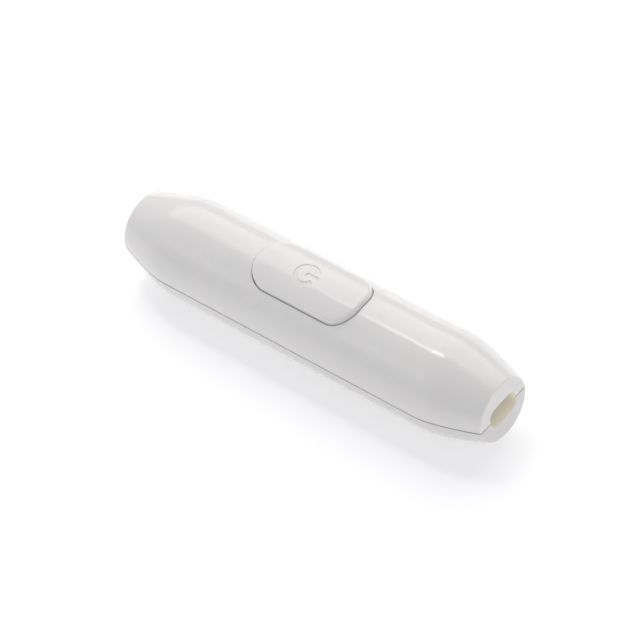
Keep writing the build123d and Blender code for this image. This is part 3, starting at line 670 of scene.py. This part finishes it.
def screw_pair(name, node, sizes, points_up):
    """Two screws in the place of a CAD node that holds the same two."""
    low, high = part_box(node)
    inset = sizes["Head Radius"]
    tip_z = high.z if points_up else low.z
    values = dict(sizes)
    values["Shank Length"] = high.z - low.z - sizes["Head Height"]
    values["First Tip"] = (low.x + inset, low.y + inset, tip_z)
    values["Second Tip"] = (high.x - inset, high.y - inset, tip_z)
    values["Turn"] = (math.pi, 0, 0) if points_up else (0, 0, 0)
    values["Material"] = zinc_steel
    screws = grown(name, screw_growth, values)
    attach(screws, "root")
    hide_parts(node)


TERMINAL_SCREW = {
    "Shank Radius": 0.0008,
    "Thread Depth": 0.00013,
    "Pitch": 0.0004,
    "Head Radius": 0.0013,
    "Head Height": 0.001,
    "Slot Length": 0.003,
    "Cross Length": 0.0005,
    "Slot Width": 0.0005,
    "Slot Depth": 0.0005,
}
screw_pair("live_screws", "live_terminal_screws", TERMINAL_SCREW, False)
screw_pair("neutral_screws", "neutral_terminal_screws", TERMINAL_SCREW, False)


# ---------------------------------------------------------------------------------------------------------
# Rocker and its axle. A black acetal lever on a ground steel pin between the base's cheeks. It carries the
# contact bridge in a window and is tipped by the button's claw.
ACETAL_SKIN = {
    "Colour": (0.035, 0.035, 0.037, 1),
    "Shade": (0.05, 0.05, 0.052, 1),
    "Smooth": 0.3,
    "Dull": 0.45,
    "Patch Scale": 150.0,
    "Grain Scale": 4500.0,
}
acetal = finished("black_acetal", moulded_finish, ACETAL_SKIN, RESIN_RELIEF, {"IOR": 1.48})
nodes["rocker"].data.materials[0] = acetal

PIN_FINISH = dict(ZINC_FINISH, Colour=(0.66, 0.66, 0.68, 1), Shade=(0.55, 0.55, 0.57, 1), Smooth=0.12)
pin_steel = finished("ground_steel", drawn_finish, PIN_FINISH, METAL_RELIEF, {"Metallic": 1.0})
nodes["rocker_axle"].data.materials[0] = pin_steel

# ---------------------------------------------------------------------------------------------------------
# Contact bridge. A brass bar with a silver button under each end. It lies loose in the rocker's window and
# is pressed down by its spring.
nodes["contact_bridge"].data.materials[0] = brass
nodes["moving_contacts"].data.materials[0] = silver


# ---------------------------------------------------------------------------------------------------------
# Bridge spring. A tiny coil of steel wire between the bridge and the top of the rocker's window, leaning
# with the rocker. All the springs are wound to one pattern, with closed ends.
COIL_INPUTS = [
    ("Coil Radius", "NodeSocketFloat"),
    ("Wire Radius", "NodeSocketFloat"),
    ("Length", "NodeSocketFloat"),
    ("Live Turns", "NodeSocketFloat"),
    ("Material", "NodeSocketMaterial"),
]
DEAD_TURNS = 1.0
STEPS_PER_TURN = 28
WIRE_SIDES = 12

coil_growth, coil_in, coil_out = make_growth("coil_growth", COIL_INPUTS)
asked = coil_in.outputs
all_turns = calculate(coil_growth, "ADD", asked["Live Turns"], 2 * DEAD_TURNS)
steps = calculate(coil_growth, "MULTIPLY", all_turns, STEPS_PER_TURN)
path = add_node(
    coil_growth,
    "GeometryNodeMeshLine",
    {"Count": calculate(coil_growth, "ADD", steps, 1)},
    {"mode": "OFFSET"},
)
step = coil_growth.nodes.new("GeometryNodeInputIndex").outputs["Index"]
turned = calculate(coil_growth, "DIVIDE", step, STEPS_PER_TURN)
wire_width = calculate(coil_growth, "MULTIPLY", asked["Wire Radius"], 2)
closed_length = calculate(coil_growth, "MULTIPLY", wire_width, 2 * DEAD_TURNS + 1)
live_length = calculate(coil_growth, "SUBTRACT", asked["Length"], closed_length)
live_pitch = calculate(coil_growth, "DIVIDE", live_length, asked["Live Turns"])
past_foot = calculate(coil_growth, "SUBTRACT", turned, DEAD_TURNS)
off_foot = calculate(coil_growth, "MAXIMUM", past_foot, 0)
live_turned = calculate(coil_growth, "MINIMUM", off_foot, asked["Live Turns"])
dead_turned = calculate(coil_growth, "SUBTRACT", turned, live_turned)
live_rise = calculate(coil_growth, "MULTIPLY_ADD", live_turned, live_pitch, asked["Wire Radius"])
wire_height = calculate(coil_growth, "MULTIPLY_ADD", dead_turned, wire_width, live_rise)
swing = calculate(coil_growth, "MULTIPLY", turned, 2 * math.pi)
wire_x = calculate(coil_growth, "MULTIPLY", calculate(coil_growth, "COSINE", swing), asked["Coil Radius"])
wire_y = calculate(coil_growth, "MULTIPLY", calculate(coil_growth, "SINE", swing), asked["Coil Radius"])
wound = add_node(
    coil_growth,
    "GeometryNodeSetPosition",
    {"Geometry": path.outputs["Mesh"], "Position": vector_of(coil_growth, wire_x, wire_y, wire_height)},
)
wire_path = add_node(coil_growth, "GeometryNodeMeshToCurve", {"Mesh": wound.outputs["Geometry"]})
wire_round = add_node(
    coil_growth,
    "GeometryNodeCurvePrimitiveCircle",
    {"Resolution": WIRE_SIDES, "Radius": asked["Wire Radius"]},
)
wire = add_node(
    coil_growth,
    "GeometryNodeCurveToMesh",
    {
        "Curve": wire_path.outputs["Curve"],
        "Profile Curve": wire_round.outputs["Curve"],
        "Fill Caps": True,
    },
)
coil_real = add_node(coil_growth, "GeometryNodeRealizeInstances", {"Geometry": wire.outputs["Mesh"]})
coil_coated = add_node(
    coil_growth,
    "GeometryNodeSetMaterial",
    {"Geometry": coil_real.outputs["Geometry"], "Material": asked["Material"]},
)
coil_growth.links.new(coil_coated.outputs["Geometry"], coil_out.inputs["Geometry"])

WIRE_FINISH = dict(ZINC_FINISH, Colour=(0.52, 0.52, 0.54, 1), Shade=(0.36, 0.35, 0.34, 1), Smooth=0.18)
spring_steel = finished("spring_wire", drawn_finish, WIRE_FINISH, METAL_RELIEF, {"Metallic": 1.0})


def coil_spring(name, node, sizes, foot, lean, body):
    """A wound spring in the place of a CAD sleeve, standing on foot and leaning about Y."""
    values = dict(sizes)
    values["Material"] = spring_steel
    coil = grown(name, coil_growth, values)
    coil.data.transform(Matrix.Translation(foot) @ Matrix.Rotation(lean, 4, "Y"))
    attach(coil, body)
    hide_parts(node)
    return coil


ROCKER_TILT = math.radians(-10)
BRIDGE_COIL = {"Coil Radius": 0.0006, "Wire Radius": 0.0001, "Length": 0.0022, "Live Turns": 4.0}
bridge_low, bridge_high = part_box("bridge_spring")
bridge_axis = Matrix.Rotation(ROCKER_TILT, 3, "Y") @ Vector((0, 0, 1))
bridge_foot = (bridge_low + bridge_high) / 2 - bridge_axis * BRIDGE_COIL["Length"] / 2
coil_spring("bridge_coil", "bridge_spring", BRIDGE_COIL, bridge_foot, ROCKER_TILT, "rocker")

# ---------------------------------------------------------------------------------------------------------
# Detent. A round-nosed acetal plunger on a coil spring in the base's well. It pushes up on the cam under
# the rocker's hub and holds the rocker over.
nodes["detent_plunger"].data.materials[0] = acetal

detent_low, detent_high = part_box("detent_spring")
DETENT_COIL = {
    "Coil Radius": 0.00072,
    "Wire Radius": 0.0001,
    "Length": detent_high.z - detent_low.z,
    "Live Turns": 4.0,
}
coil_spring("detent_coil", "detent_spring", DETENT_COIL, (0, 0, detent_low.z), 0, "root")

# ---------------------------------------------------------------------------------------------------------
# Cord clamps. A ribbed bar of the base's resin over the flex at each end, held down on two bosses of the
# lower half by slotted screws.
CLAMP_SCREW = dict(TERMINAL_SCREW)
CLAMP_SCREW["Shank Radius"] = 0.0007
CLAMP_SCREW["Thread Depth"] = 0.00015
CLAMP_SCREW["Pitch"] = 0.0006
for side in ("left", "right"):
    nodes["cord_clamp_" + side].data.materials[0] = urea_resin
    screw_pair(side + "_clamp_pair", "clamp_screws_" + side, CLAMP_SCREW, False)

# ---------------------------------------------------------------------------------------------------------
# Upper half of the housing. The same white ABS, with the collar that guides the button. It sits on the lower
# half with a fine shadow groove between them.
# Like the lower half, its parting groove carries dust and painted shade, and its cord mouths carry painted
# warm bounce light and a painted glow.
nodes["upper_shell"].data.materials[0] = shell_plastic("upper_plastic", WHITE_SKIN)

# ---------------------------------------------------------------------------------------------------------
# Housing screws. Two cross-head screws driven from below, heads sunk in the foot, that bite in the upper
# half's bosses and hold the halves together.
HOUSING_SCREW = {
    "Shank Radius": 0.0011,
    "Thread Depth": 0.00025,
    "Pitch": 0.0009,
    "Head Radius": 0.002,
    "Head Height": 0.0013,
    "Slot Length": 0.002,
    "Cross Length": 0.002,
    "Slot Width": 0.0005,
    "Slot Depth": 0.0006,
}
screw_pair("housing_pair", "housing_screws", HOUSING_SCREW, True)

# ---------------------------------------------------------------------------------------------------------
# Return springs. Two longer steel coils on the base's pegs that lift the ends of the button. In the real
# switch they shorten by its travel when it is pressed; here they are left at their rest length.
for side in ("left", "right"):
    spring_low, spring_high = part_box("return_spring_" + side)
    spring_length = spring_high.z - spring_low.z
    foot = ((spring_low.x + spring_high.x) / 2, 0, spring_low.z)
    return_coil = {
        "Coil Radius": 0.001225,
        "Wire Radius": 0.000175,
        "Length": spring_length,
        "Live Turns": 8.0,
    }
    coil = coil_spring(side + "_return_coil", "return_spring_" + side, return_coil, foot, 0, "root")
    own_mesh(coil)

# ---------------------------------------------------------------------------------------------------------
# Push button. One crowned cap in the same white as the housing, a little glossier from thumbs, with the
# standby symbol sunk in its top. It slides down in the collar of the upper half.
BUTTON_SKIN = dict(WHITE_SKIN, Smooth=0.09, Dull=0.15)
button_plastic = finished("button_plastic", moulded_finish, BUTTON_SKIN, SKIN_RELIEF, WHITE_PLASTIC)
nodes["push_button"].data.materials[0] = button_plastic

# ---------------------------------------------------------------------------------------------------------
# Pusher. A black acetal claw that hangs on a steel pin in the button's fork. Its tip bears on the raised arm
# of the rocker.
nodes["pusher"].data.materials[0] = acetal
nodes["pusher_pin"].data.materials[0] = pin_steel
